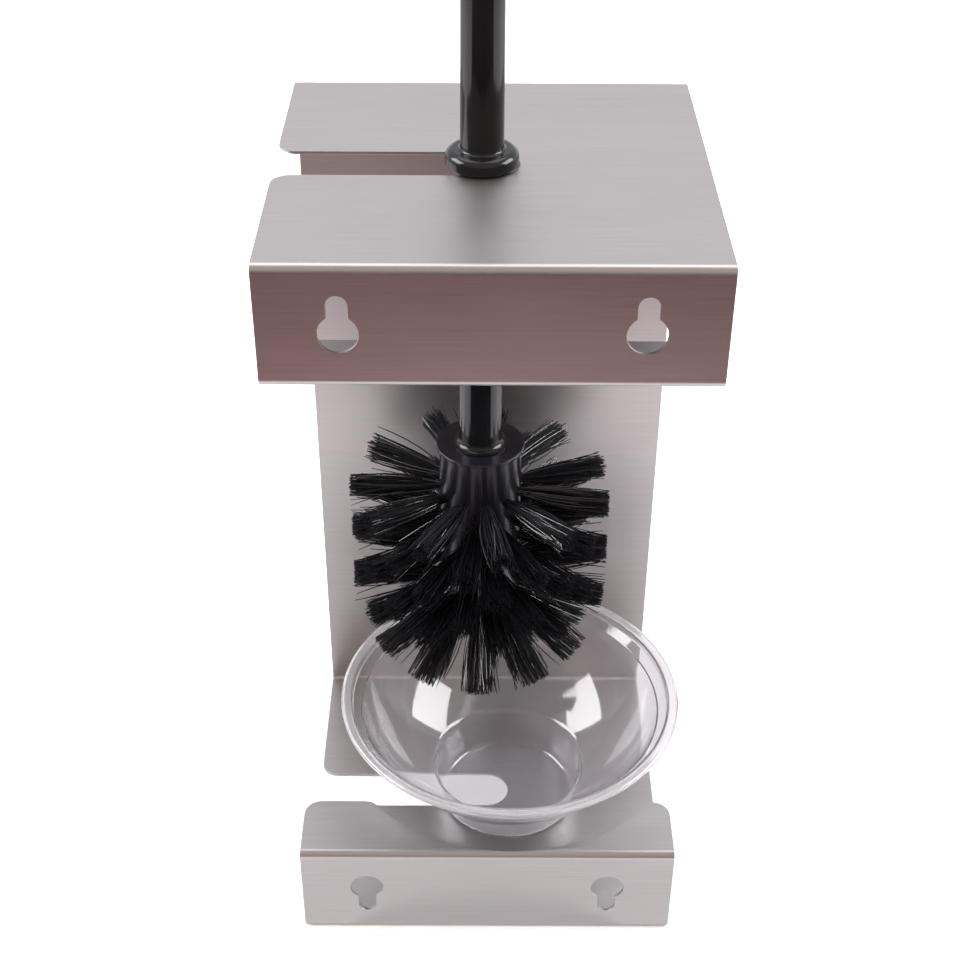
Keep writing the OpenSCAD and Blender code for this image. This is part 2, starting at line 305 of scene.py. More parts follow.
def soft_normals(piece):
    """Smooth shading, with sharp edges only where two faces meet at more than the crease angle."""
    mesh = piece.data
    mesh.polygons.foreach_set("use_smooth", [True] * len(mesh.polygons))
    shape = bmesh.new()
    shape.from_mesh(mesh)
    for edge in shape.edges:
        edge.smooth = len(edge.link_faces) == 2 and edge.calc_face_angle(0.0) < CREASE
    shape.to_mesh(mesh)
    shape.free()
    weighting = piece.modifiers.new("Weighted normals", "WEIGHTED_NORMAL")
    weighting.keep_sharp = True
    weighting.weight = 60


def round_normals(piece, radius):
    """True round shading on the drilled body and its dome, whatever the triangles between the holes do."""
    mesh = piece.data
    dome = Vector((brush_axis_x, 0.0, ring_heights[-1]))
    normals = [Vector(corner.vector) for corner in mesh.corner_normals]
    for face in mesh.polygons:
        for corner in face.loop_indices:
            place = mesh.vertices[mesh.loops[corner].vertex_index].co - dome
            place.z = min(place.z, 0.0)
            if abs(place.length - radius) < 0.04 * MM and face.normal.dot(place.normalized()) > 0.94:
                normals[corner] = place.normalized()
    mesh.normals_split_custom_set(normals)


def arc(centre_r, centre_z, radius, start, end, steps):
    """Points of an arc in a section, with angles in degrees from the outward direction."""
    angles = [math.radians(start + (end - start) * n / steps) for n in range(steps + 1)]
    return [(centre_r + radius * math.cos(a), centre_z + radius * math.sin(a)) for a in angles]


def rounded_line(corners, steps=6):
    """A section line through (r, z, corner radius) places, with an arc where there is a radius."""
    line = []
    for n, (r, z, radius) in enumerate(corners):
        here = Vector((r, z))
        if radius <= 0 or n in (0, len(corners) - 1):
            line.append((r, z))
            continue
        back = (Vector(corners[n - 1][:2]) - here).normalized()
        ahead = (Vector(corners[n + 1][:2]) - here).normalized()
        half = math.acos(max(-1.0, min(1.0, back.dot(ahead)))) / 2
        reach = radius / math.tan(half)
        centre = here + (back + ahead).normalized() * radius / math.sin(half)
        first = here + back * reach - centre
        last = here + ahead * reach - centre
        sweep = first.angle_signed(last)
        for step in range(steps + 1):
            turned = first.copy()
            turned.rotate(Matrix.Rotation(-sweep * step / steps, 2))
            line.append(tuple(centre + turned))
    return line


def lathe(name, section, axis_x, turns=128, swell=None):
    """Turns a section line of (r, z) places, which starts and ends on the axis, into a closed mesh."""
    places = []
    rows = []
    for r, z in section:
        if r < 1e-7:
            rows.append([len(places)])
            places.append((axis_x, 0.0, z))
            continue
        row = []
        for step in range(turns):
            angle = 2 * math.pi * step / turns
            radius = r + (swell(r, z, angle) if swell else 0.0)
            row.append(len(places))
            places.append((axis_x + radius * math.cos(angle), radius * math.sin(angle), z))
        rows.append(row)
    faces = []
    for low, high in zip(rows, rows[1:]):
        for step in range(turns):
            ahead = (step + 1) % turns
            if len(low) == 1:
                faces.append((low[0], high[ahead], high[step]))
            elif len(high) == 1:
                faces.append((low[step], low[ahead], high[0]))
            else:
                faces.append((low[step], low[ahead], high[ahead], high[step]))
    mesh = mesh_from(name, places, faces)
    shape = bmesh.new()
    shape.from_mesh(mesh)
    bmesh.ops.recalc_face_normals(shape, faces=shape.faces)
    shape.to_mesh(mesh)
    shape.free()
    return mesh


def welded_copy(node):
    """A bmesh with the packed node's shape, its split corners joined."""
    shape = bmesh.new()
    shape.from_mesh(frame["nodes"][node].data)
    bmesh.ops.remove_doubles(shape, verts=shape.verts, dist=1e-6)
    bmesh.ops.recalc_face_normals(shape, faces=shape.faces)
    return shape


# ---------------------------------------------------------------- materials


def new_material(name):
    """A material with an empty tree that holds only the shader and its output."""
    material = bpy.data.materials.get(name)
    if material:
        return material, None, None
    material = bpy.data.materials.new(name)
    material.use_nodes = True
    tree = material.node_tree
    tree.nodes.clear()
    shader = tree.nodes.new("ShaderNodeBsdfPrincipled")
    output = tree.nodes.new("ShaderNodeOutputMaterial")
    tree.links.new(shader.outputs["BSDF"], output.inputs["Surface"])
    return material, tree, shader


def set_values(node, **values):
    for socket, value in values.items():
        node.inputs[socket.replace("_", " ")].default_value = value


def stretched_place(tree, stretch, turn=(0, 0, 0)):
    """The place on the object, stretched along each axis."""
    coordinates = tree.nodes.new("ShaderNodeTexCoord")
    mapping = tree.nodes.new("ShaderNodeMapping")
    mapping.inputs["Scale"].default_value = stretch
    mapping.inputs["Rotation"].default_value = turn
    tree.links.new(coordinates.outputs["Object"], mapping.inputs["Vector"])
    return mapping.outputs["Vector"]


def noise(tree, place, scale=1.0, detail=2.0, rough=0.5, twist=0.0):
    texture = tree.nodes.new("ShaderNodeTexNoise")
    set_values(texture, Scale=scale, Detail=detail, Roughness=rough, Distortion=twist)
    tree.links.new(place, texture.inputs["Vector"])
    return texture.outputs["Fac"]


def spread(tree, value, low, high, from_low=0.3, from_high=0.7):
    """Spreads a value over a range."""
    node = tree.nodes.new("ShaderNodeMapRange")
    node.inputs["From Min"].default_value = from_low
    node.inputs["From Max"].default_value = from_high
    node.inputs["To Min"].default_value = low
    node.inputs["To Max"].default_value = high
    tree.links.new(value, node.inputs["Value"])
    return node.outputs["Result"]


def combine(tree, operation, first, second):
    node = tree.nodes.new("ShaderNodeMath")
    node.operation = operation
    for value, socket in ((first, node.inputs[0]), (second, node.inputs[1])):
        if isinstance(value, (int, float)):
            socket.default_value = value
        else:
            tree.links.new(value, socket)
    return node.outputs["Value"]


def mix_colours(tree, factor, first, second):
    node = tree.nodes.new("ShaderNodeMix")
    node.data_type = "RGBA"
    tree.links.new(factor, node.inputs["Factor"])
    for value, socket in ((first, node.inputs["A"]), (second, node.inputs["B"])):
        if isinstance(value, bpy.types.NodeSocket):
            tree.links.new(value, socket)
        else:
            socket.default_value = (*value, 1.0) if len(value) == 3 else value
    return node.outputs["Result"]


def bump(tree, height, distance, strength=1.0, below=None):
    node = tree.nodes.new("ShaderNodeBump")
    node.inputs["Distance"].default_value = distance
    node.inputs["Strength"].default_value = strength
    tree.links.new(height, node.inputs["Height"])
    if below:
        tree.links.new(below, node.inputs["Normal"])
    return node.outputs["Normal"]


def brushed_steel():
    """Stainless sheet with a fine satin brushing along its width and faint handling smudges."""
    material, tree, shader = new_material("Brushed_steel")
    if not tree:
        return material
    own = settings("brush_set_sheet")
    lines = noise(tree, stretched_place(tree, (45, 5200, 5200)), detail=3.0, rough=0.6)
    streaks = noise(tree, stretched_place(tree, (12, 900, 900)), detail=2.0, rough=0.5)
    smudges = noise(tree, stretched_place(tree, (16, 24, 24)), detail=4.0, rough=0.55)
    mottle = noise(tree, stretched_place(tree, (90, 110, 110)), detail=3.0)
    fine = combine(tree, "MULTIPLY", lines, 0.8)
    both = combine(tree, "ADD", fine, combine(tree, "MULTIPLY", streaks, 0.2))
    line_colour = mix_colours(tree, spread(tree, both, 0.0, 1.0), own.dark_steel, own.light_steel)
    patches = spread(tree, mottle, 0.0, 0.5, 0.3, 0.75)
    toned = mix_colours(tree, patches, line_colour, (0.52, 0.512, 0.517))
    sheared = tree.nodes.new("ShaderNodeAttribute")
    sheared.attribute_name = "cut_face"
    colour = mix_colours(tree, sheared.outputs["Fac"], toned, (0.50, 0.49, 0.485))
    tree.links.new(colour, shader.inputs["Base Color"])
    fine_rough = spread(tree, both, 0.315, 0.38)
    rough = combine(tree, "ADD", fine_rough, spread(tree, smudges, -0.02, 0.035))
    facing = tree.nodes.new("ShaderNodeSeparateXYZ")
    tree.links.new(tree.nodes.new("ShaderNodeNewGeometry").outputs["Normal"], facing.inputs["Vector"])
    wiped = spread(tree, facing.outputs["Z"], 0.0, 0.055, 0.985, 0.999)
    rough = combine(tree, "ADD", rough, wiped)
    tree.links.new(rough, shader.inputs["Roughness"])
    tree.links.new(bump(tree, lines, 0.000006, 0.35), shader.inputs["Normal"])
    set_values(shader, Metallic=1.0)
    return material


def clear_plastic(name, clear, low_rough, high_rough):
    """Clear moulded plastic with a faint waviness and a little surface haze."""
    material, tree, shader = new_material(name)
    if not tree:
        return material
    own = settings("brush_set_bowl")
    waves = noise(tree, stretched_place(tree, (34, 34, 50)), detail=1.5)
    haze = noise(tree, stretched_place(tree, (60, 60, 60)), detail=4.0, rough=0.6)
    tint = mix_colours(tree, spread(tree, haze, 0.0, 1.0), own.tint, (0.93, 0.92, 0.955))
    tree.links.new(tint, shader.inputs["Base Color"])
    tree.links.new(spread(tree, haze, low_rough, high_rough), shader.inputs["Roughness"])
    tree.links.new(bump(tree, waves, 0.00025, 0.25), shader.inputs["Normal"])
    set_values(shader, Transmission_Weight=clear, IOR=1.5)
    return material


def moulded_black(name, dark, pale, low_rough, high_rough):
    """Glossy black plastic with faint flow waves and fine dust scratches."""
    material, tree, shader = new_material(name)
    if not tree:
        return material
    flow = noise(tree, stretched_place(tree, (40, 40, 14)), detail=1.0)
    scuffs = noise(tree, stretched_place(tree, (900, 900, 260)), detail=3.0, rough=0.7)
    clouds = noise(tree, stretched_place(tree, (120, 120, 60)), detail=3.0)
    colour = mix_colours(tree, spread(tree, clouds, 0.0, 1.0), dark, pale)
    tree.links.new(colour, shader.inputs["Base Color"])
    worn = spread(tree, scuffs, 0.0, 0.05, 0.5, 0.8)
    rough = combine(tree, "ADD", spread(tree, clouds, low_rough, high_rough), worn)
    tree.links.new(rough, shader.inputs["Roughness"])
    gentle = bump(tree, flow, 0.0001, 0.15)
    tree.links.new(bump(tree, scuffs, 0.000008, 0.4, gentle), shader.inputs["Normal"])
    set_values(shader, IOR=1.5, Specular_IOR_Level=0.42)
    return material


def bristle_nylon(name, bend, specular, low_rough, high_rough):
    """Black nylon filament with a satin sheen that changes from bristle to bristle."""
    material, tree, shader = new_material(name)
    if not tree:
        return material
    own = settings("brush_set_tufts")
    shade = tree.nodes.new("ShaderNodeAttribute")
    shade.attribute_name = "bristle_shade"
    grain = noise(tree, stretched_place(tree, (1500, 1500, 1500)), detail=2.0)
    colour = mix_colours(tree, shade.outputs["Fac"], own.colour, (0.022, 0.022, 0.025))
    tree.links.new(colour, shader.inputs["Base Color"])
    tree.links.new(spread(tree, grain, low_rough, high_rough), shader.inputs["Roughness"])
    set_values(shader, IOR=bend, Specular_IOR_Level=specular)
    return material


def drawn_wire():
    """Brass-coloured flat wire with fine drawing lines."""
    material, tree, shader = new_material("Drawn_wire")
    if not tree:
        return material
    lines = noise(tree, stretched_place(tree, (2500, 2500, 2500)), detail=3.0)
    colour = mix_colours(tree, spread(tree, lines, 0.0, 1.0), (0.58, 0.50, 0.34), (0.78, 0.71, 0.52))
    tree.links.new(colour, shader.inputs["Base Color"])
    tree.links.new(spread(tree, lines, 0.24, 0.42), shader.inputs["Roughness"])
    tree.links.new(bump(tree, lines, 0.00001, 0.4), shader.inputs["Normal"])
    set_values(shader, Metallic=1.0)
    return material


def pale_floor():
    """Plain pale floor that stays as bright far away, past the reach of the lights."""
    material, tree, shader = new_material("Pale_floor")
    if not tree:
        return material
    own = settings("brush_set_stage")
    grain = noise(tree, stretched_place(tree, (40, 40, 40)), detail=5.0)
    paler = tuple(0.97 * part for part in own.floor_colour)
    tree.links.new(mix_colours(tree, grain, own.floor_colour, paler), shader.inputs["Base Color"])
    tree.links.new(spread(tree, grain, 0.85, 0.95), shader.inputs["Roughness"])
    set_values(shader, Specular_IOR_Level=0.1)
    away = tree.nodes.new("ShaderNodeVectorMath")
    away.operation = "LENGTH"
    tree.links.new(stretched_place(tree, (1, 1, 0)), away.inputs[0])
    glow = spread(tree, away.outputs["Value"], 0.0, 1.0, 0.9, 3.5)
    tree.links.new(glow, shader.inputs["Emission Strength"])
    shader.inputs["Emission Color"].default_value = (0.96, 0.955, 0.95, 1.0)
    return material


# ---------------------------------------------------------------- bent sheet


def is_cut_face(middle, normal, own):
    """True for a face that the cutting tool left, across the sheet's thickness."""
    if abs(normal.x) > 0.5:
        return True
    wall = sheet_high.y - own.bend
    in_plate = abs(middle.y) < wall
    height = min(middle.z, sheet_high.z - middle.z)
    if in_plate and height < own.thickness * 1.01:
        return abs(normal.z) < 0.5
    lip_middle = FLANGE_HEIGHT - own.thickness / 2
    if in_plate and middle.y > 0 and abs(height - lip_middle) < own.thickness * 0.51:
        return abs(normal.z) < 0.5
    if not in_plate and own.bend < height < FLANGE_HEIGHT - own.bend:
        return abs(normal.y) < 0.5
    return False


def edges_and_angles(shape):
    """Each edge between two faces, with the angle at which they meet."""
    return [(edge, edge.calc_face_angle(0.0)) for edge in shape.edges if len(edge.link_faces) == 2]


class BRUSHSET_OT_sheet(bpy.types.Operator):
    """Build the bent steel sheet with deburred edges"""

    bl_idname = "brush_set.sheet"
    bl_label = "Bent Sheet"

    def execute(self, context):
        own = settings("brush_set_sheet")
        shape = welded_copy("bent_holder")
        flat = [edge for edge, angle in edges_and_angles(shape) if angle < FLAT_EDGE]
        bmesh.ops.dissolve_edges(shape, edges=flat, use_verts=False)
        sharp = [edge for edge, angle in edges_and_angles(shape) if angle > SHARP_EDGE]
        bmesh.ops.bevel(shape, geom=sharp, offset=own.deburr, segments=2, profile=0.5, affect="EDGES",
                        clamp_overlap=True)
        layer = shape.faces.layers.float.new("cut_face")
        for face in shape.faces:
            middle = face.calc_center_median()
            face[layer] = 1.0 if is_cut_face(middle, face.normal, own) else 0.0
        bmesh.ops.triangulate(shape, faces=[f for f in shape.faces if len(f.verts) > 4])
        mesh = bpy.data.meshes.new("Bent_sheet")
        shape.to_mesh(mesh)
        shape.free()
        piece = new_piece("Bent_sheet", mesh, "holder", "steel", "bent_holder")
        piece.data.materials.append(brushed_steel())
        soft_normals(piece)
        return {"FINISHED"}


# ---------------------------------------------------------------- drip bowl


def bowl_centre_line(own):
    """Middle of the bowl's wall, from the axis to the lower end of the rim's edge."""
    half = own.wall / 2
    rim = (bowl_high.x - bowl_low.x) / 2
    top = bowl_high.z
    bottom = bowl_low.z
    ledge_r = rim - own.rim_width - own.ledge_width
    ledge_z = top - bottom - own.step - own.ledge_fall - own.wall
    centre = (ledge_r ** 2 - own.foot_top_radius ** 2 + ledge_z ** 2 - own.foot_height ** 2)
    centre /= 2 * (ledge_z - own.foot_height)
    round_r = math.hypot(own.foot_top_radius, centre - own.foot_height) - half
    start = math.atan2(own.foot_height - centre, own.foot_top_radius - half)
    end = math.atan2(ledge_z + half - centre, ledge_r - half)
    wall_steps = 22
    corners = [(0.0, bottom + half + 0.45 * MM, 0.0), (14 * MM, bottom + half + 0.4 * MM, 6 * MM),
               (own.foot_radius - 4.4 * MM, bottom + half, 2 * MM),
               (own.foot_radius - half, bottom + half, 2.8 * MM)]
    for step in range(wall_steps + 1):
        angle = start + (end - start) * step / wall_steps
        place = (round_r * math.cos(angle), bottom + centre + round_r * math.sin(angle))
        corners.append((*place, 3.6 * MM if step == 0 else 0.8 * MM if step == wall_steps else 0.0))
    step_r = rim - own.rim_width - half
    corners.append((step_r, top - own.step - half, 0.9 * MM))
    corners.append((step_r, top - half, 0.7 * MM))
    corners.append((rim - half, top - half, 0.7 * MM))
    corners.append((rim - half, top - own.rim_edge + half, 0.0))
    return rounded_line(corners)


def wall_section(centre_line, half):
    """Both faces of a wall around its centre line, with a round end, from axis to axis."""
    sides = [[], []]
    count = len(centre_line)
    for n, (r, z) in enumerate(centre_line):
        before = Vector(centre_line[max(n - 1, 0)])
        after = Vector(centre_line[min(n + 1, count - 1)])
        along = (after - before).normalized()
        if n == 0:
            along = Vector((1.0, 0.0))
        for side, turn in zip(sides, (1, -1)):
            side.append((max(r - along.y * half * turn, 0.0), z + along.x * half * turn))
    end = Vector(centre_line[-1])
    round_end = arc(end.x, end.y, half, 180, 360, 6)[1:-1]
    inner, outer = sides
    return inner + round_end + outer[::-1]


class BRUSHSET_OT_bowl(bpy.types.Operator):
    """Build the clear drip bowl"""

    bl_idname = "brush_set.bowl"
    bl_label = "Drip Bowl"

    def execute(self, context):
        own = settings("brush_set_bowl")
        section = wall_section(bowl_centre_line(own), own.wall / 2)
        mesh = lathe("Drip_bowl", section, bowl_axis_x, 192)
        piece = new_piece("Drip_bowl", mesh, "bowl", "clear_plastic", "drip_bowl")
        piece.data.materials.append(clear_plastic("Clear_plastic", 0.935, 0.035, 0.08))
        piece.data.materials.append(clear_plastic("Clear_rim", 0.86, 0.08, 0.14))
        rim_start = bowl_high.z - own.step - own.wall
        for face in mesh.polygons:
            face.use_smooth = True
            face.material_index = 1 if face.center.z > rim_start else 0
        return {"FINISHED"}


# ---------------------------------------------------------------- handle and head


class BRUSHSET_OT_handle(bpy.types.Operator):
    """Build the turned handle with its collar and threaded spigot"""

    bl_idname = "brush_set.handle"
    bl_label = "Handle"

    def execute(self, context):
        own = settings("brush_set_handle")
        top = handle_high.z
        collar_low = own.plate_top + COLLAR_CLEARANCE
        collar_top = collar_low + own.collar_height
        shoulder = head_high.z
        slope = (own.lower_radius - own.upper_radius) / (top - shoulder)
        collar_r = (handle_high.x - handle_low.x) / 2

        def stem(z):
            return own.lower_radius - slope * (z - shoulder)

        start = handle_low.z
        section = [(0.0, start), (own.spigot_radius - SPIGOT_CHAMFER, start)]
        thread_top = shoulder - 0.3 * MM
        threaded = thread_top - start - SPIGOT_CHAMFER
        section += [(own.spigot_radius, start + SPIGOT_CHAMFER + threaded * n / THREAD_ROWS)
                    for n in range(THREAD_ROWS + 1)]
        edge = own.lower_radius + SHOULDER_FILLET
        section += [(own.spigot_radius, shoulder), (edge - SHOULDER_CHAMFER, shoulder),
                    (edge, shoulder + SHOULDER_CHAMFER), (edge - 0.02 * MM, shoulder + SHOULDER_EDGE)]
        section += arc(edge, shoulder + SHOULDER_EDGE + SHOULDER_FILLET, SHOULDER_FILLET, 270, 180, 10)[1:]
        section += [(stem(z), z) for z in np.linspace(shoulder + 5 * MM, collar_low - 0.6 * MM, 12)]
        section += [(stem(collar_low), collar_low)]
        section += [(collar_r - COLLAR_LOW_RADIUS, collar_low)]
        section += arc(collar_r - COLLAR_LOW_RADIUS, collar_low + COLLAR_LOW_RADIUS, COLLAR_LOW_RADIUS,
                       270, 360, 6)[1:]
        section += arc(collar_r - own.collar_shoulder, collar_top - own.collar_shoulder,
                       own.collar_shoulder, 0, 90, 12)
        section += arc(stem(collar_top) + COLLAR_FILLET, collar_top + COLLAR_FILLET, COLLAR_FILLET,
                       270, 180, 8)
        stem_end = top - own.upper_radius - 1 * MM
        section += [(stem(z), z) for z in np.linspace(collar_top + 3 * MM, stem_end, 24)]
        section += arc(0.0, top - own.upper_radius, own.upper_radius, 0, 90, 14)[:-1]
        section += [(0.0, top)]

        def thread(r, z, angle):
            if abs(r - own.spigot_radius) > 1e-6 or z > thread_top - 0.8 * MM:
                return 0.0
            turn = ((z - start) / own.thread_pitch - angle / (2 * math.pi)) % 1.0
            return -THREAD_DEPTH * max(0.0, 1.0 - abs(turn - 0.5) * 3.2)

        mesh = lathe("Handle", section, brush_axis_x, 96, thread)
        piece = new_piece("Handle", mesh, "handle", "black_plastic", "handle")
        pale = (0.0072, 0.0073, 0.0092)
        piece.data.materials.append(moulded_black("Handle_black", own.black, pale, 0.10, 0.15))
        soft_normals(piece)
        return {"FINISHED"}


class BRUSHSET_OT_head(bpy.types.Operator):
    """Build the drilled core of the brush head with its rounded cap disc"""

    bl_idname = "brush_set.head"
    bl_label = "Head Core"

    def execute(self, context):
        shape = welded_copy("brush_head")
        cap_r = (head_high.x - head_low.x) / 2
        on_rim = {v for v in shape.verts
                  if abs(math.hypot(v.co.x - brush_axis_x, v.co.y) - cap_r) < 0.05 * MM}
        rim_edges = [e for e in shape.edges
                     if e.verts[0] in on_rim and e.verts[1] in on_rim
                     and abs(e.verts[0].co.z - e.verts[1].co.z) < 0.01 * MM
                     and e.calc_face_angle(0.0) > SHARP_EDGE]
        bmesh.ops.bevel(shape, geom=rim_edges, offset=0.32 * MM, segments=3, profile=0.5,
                        affect="EDGES", clamp_overlap=True)
        mesh = bpy.data.meshes.new("Head_core")
        shape.to_mesh(mesh)
        shape.free()
        piece = new_piece("Head_core", mesh, "head", "black_plastic", "brush_head")
        black = settings("brush_set_handle").black
        bluer = (black[0] * 1.5, black[1] * 1.45, black[2] * 1.65)
        pale = (0.0105, 0.0100, 0.0140)
        piece.data.materials.append(moulded_black("Head_black", bluer, pale, 0.20, 0.27))
        soft_normals(piece)
        round_normals(piece, settings("brush_set_tufts").core_radius)
        return {"FINISHED"}


# ---------------------------------------------------------------- bristles


def tuft_axes(node):
    """Start place and direction of each tuft that a packed tuft node holds."""
    dome_z = ring_heights[-1]
    if node in ring_nodes:
        row = ring_nodes.index(node)
        turns = [math.pi / RING_TUFTS * (2 * n + row % 2) for n in range(RING_TUFTS)]
        start = Vector((brush_axis_x, 0.0, ring_heights[row]))
        return [(start, Vector((math.cos(t), math.sin(t), 0.0))) for t in turns]
    start = Vector((brush_axis_x, 0.0, dome_z))
    if node == "tuft_tip":
        return [(start, Vector((0.0, 0.0, -1.0)))]
    tilt, count = DOME_ROWS[node]
    turns = [math.pi / 2 + 2 * math.pi * n / count for n in range(count)]
    flat, down = math.cos(tilt), math.sin(tilt)
    return [(start, Vector((flat * math.cos(t), flat * math.sin(t), -down))) for t in turns]


def tuft_bristles(start, along, tip_radius, own, chance):
    """Centre lines of one tuft's bristles, as an array of bristle, step and place."""
    count = own.bristles
    side = along.orthogonal().normalized()
    other = along.cross(side)
    ring = np.sqrt((np.arange(count) + 0.5) / count)
    turn = np.arange(count) * GOLDEN_ANGLE + chance.uniform(0, 6.28)
    root = np.stack([ring * np.cos(turn), ring * np.sin(turn)], 1)
    lean = chance.normal(0, 0.75, 2) * MM
    tip = root * (tip_radius + chance.normal(0, 0.3) * MM) + lean
    tip += chance.normal(0, 0.5, (count, 2)) * MM
    stray = chance.random(count) < STRAY_SHARE
    tip[stray] += chance.normal(0, 2.4, (int(stray.sum()), 2)) * MM
    root = root * own.root_radius
    length = own.reach - np.abs(chance.normal(0, 0.55, count)) * MM
    length[chance.random(count) < SHORT_SHARE] -= chance.uniform(0.6, 2.4) * MM
    curl = chance.normal(0, 0.75, (count, 2)) * MM
    inside = own.core_radius - own.hole_depth + 0.6 * MM
    steps = np.array([0.0, 0.16, 0.3, 0.48, 0.66, 0.84, 1.0])
    reach = inside + (length[:, None] - inside) * steps[None]
    free = np.clip((reach - own.core_radius) / (own.reach - own.core_radius), 0, 1)
    spread_share = free ** 0.72
    bow = np.sin(free * math.pi)
    across = root[:, None] + (tip - root)[:, None] * spread_share[..., None]
    across = across + curl[:, None] * bow[..., None]
    middle = np.array(start)[None, None] + reach[..., None] * np.array(along)[None, None]
    return middle + across @ np.array([side, other])


def tube_mesh(name, lines, thickness, chance):
    """One mesh of thin four-sided tubes around many centre lines, each with a shade of its own."""
    sides = TUBE_SIDES
    count, steps = lines.shape[:2]
    ahead = np.gradient(lines, axis=1)
    ahead /= np.linalg.norm(ahead, axis=2, keepdims=True)
    guide = np.where(np.abs(ahead[..., 2:3]) > 0.9, np.array([1.0, 0, 0]), np.array([0, 0, 1.0]))
    first = np.cross(ahead, guide)
    first /= np.linalg.norm(first, axis=2, keepdims=True)
    second = np.cross(ahead, first)
    radius = thickness / 2 * chance.uniform(0.8, 1.15, (count, 1, 1, 1))
    taper = np.ones(steps)
    taper[-1] = TUBE_END_TAPER
    angle = 2 * math.pi * (np.arange(sides) + 0.5) / sides
    circle = (first[:, :, None] * np.cos(angle)[None, None, :, None]
              + second[:, :, None] * np.sin(angle)[None, None, :, None])
    places = lines[:, :, None] + circle * radius * taper[None, :, None, None]
    numbers = np.arange(count * steps * sides).reshape(count, steps, sides)
    low, high = numbers[:, :-1], numbers[:, 1:]
    quads = np.stack([low, np.roll(low, -1, 2), np.roll(high, -1, 2), high], -1).reshape(-1, 4)
    caps = numbers[:, -1]
    faces = np.concatenate([quads, caps])
    mesh = bpy.data.meshes.new(name)
    mesh.vertices.add(len(places.reshape(-1, 3)))
    mesh.vertices.foreach_set("co", places.reshape(-1).astype(np.float32))
    mesh.loops.add(faces.size)
    mesh.loops.foreach_set("vertex_index", faces.reshape(-1).astype(np.int32))
    mesh.polygons.add(len(faces))
    mesh.polygons.foreach_set("loop_start", np.arange(0, faces.size, sides, dtype=np.int32))
    mesh.update(calc_edges=True)
    shade = mesh.attributes.new("bristle_shade", "FLOAT", "POINT")
    own_shade = np.repeat(chance.random(count) ** 4.0, steps).reshape(count, steps)
    shade.data.foreach_set("value", np.repeat(own_shade.reshape(-1), sides).astype(np.float32))
    mesh.polygons.foreach_set("use_smooth", [True] * len(mesh.polygons))
    corner_edges = np.empty(faces.size, dtype=np.int32)
    mesh.loops.foreach_get("edge_index", corner_edges)
    sharp = np.zeros(len(mesh.edges), dtype=bool)
    sharp[corner_edges[-caps.size:]] = True
    mesh.attributes.new("sharp_edge", "BOOLEAN", "EDGE").data.foreach_set("value", sharp)
    glossy = np.where(chance.random(count) < GLOSSY_SHARE, 2, 0)
    finishes = np.concatenate([np.repeat(glossy, (steps - 1) * sides), np.ones(count, dtype=int)])
    mesh.polygons.foreach_set("material_index", finishes.astype(np.int32))
    mesh.validate()
    return mesh


class BRUSHSET_OT_tufts(bpy.types.Operator):
    """Build every tuft from single bristles, one piece for each row"""

    bl_idname = "brush_set.tufts"
    bl_label = "Bristle Tufts"

    def execute(self, context):
        own = settings("brush_set_tufts")
        chance = np.random.default_rng(own.seed)
        rows = ring_nodes + ["tufts_dome_upper", "tufts_dome_lower", "tuft_tip"]
        for number, node in enumerate(rows):
            tip_radius = own.tip_radius if node in ring_nodes else own.dome_tip_radius
            lines = [tuft_bristles(start, along, tip_radius, own, chance)
                     for start, along in tuft_axes(node)]
            name = "Bristles_row_%d" % (number + 1)
            mesh = tube_mesh(name, np.concatenate(lines), own.thickness, chance)
            piece = new_piece(name, mesh, "head", "bristle", node)
            for finish in BRISTLE_FINISHES:
                piece.data.materials.append(bristle_nylon(*finish))
        return {"FINISHED"}


class BRUSHSET_OT_anchors(bpy.types.Operator):
    """Give the wire anchors in the tuft holes their finish"""

    bl_idname = "brush_set.anchors"
    bl_label = "Wire Anchors"

    def execute(self, context):
        for name, node in frame["nodes"].items():
            if name.startswith("anchor"):
                node.data.materials.clear()
                node.data.materials.append(drawn_wire())
        return {"FINISHED"}


# ---------------------------------------------------------------- stage


def area_light(name, place, target, width, height, power):
    """A soft box that the camera can't see, turned to its target."""
    light = bpy.data.lights.new(name, "AREA")
    light.shape = "RECTANGLE"
    light.size = width
    light.size_y = height
    light.energy = power
    lamp = bpy.data.objects.new(name, light)
    lamp.location = place
    lamp.rotation_euler = (Vector(target) - Vector(place)).to_track_quat("-Z", "Y").to_euler()
    lamp.visible_camera = False
    bpy.context.scene.collection.objects.link(lamp)
    return lamp


def everything_but(name, left_out):
    """A collection of all meshes but some, which says what a light or card falls on."""
    collection = bpy.data.collections.new(name)
    for thing in bpy.context.scene.objects:
        if thing.type == "MESH" and not thing.name.startswith(left_out):
            collection.objects.link(thing)
    return collection


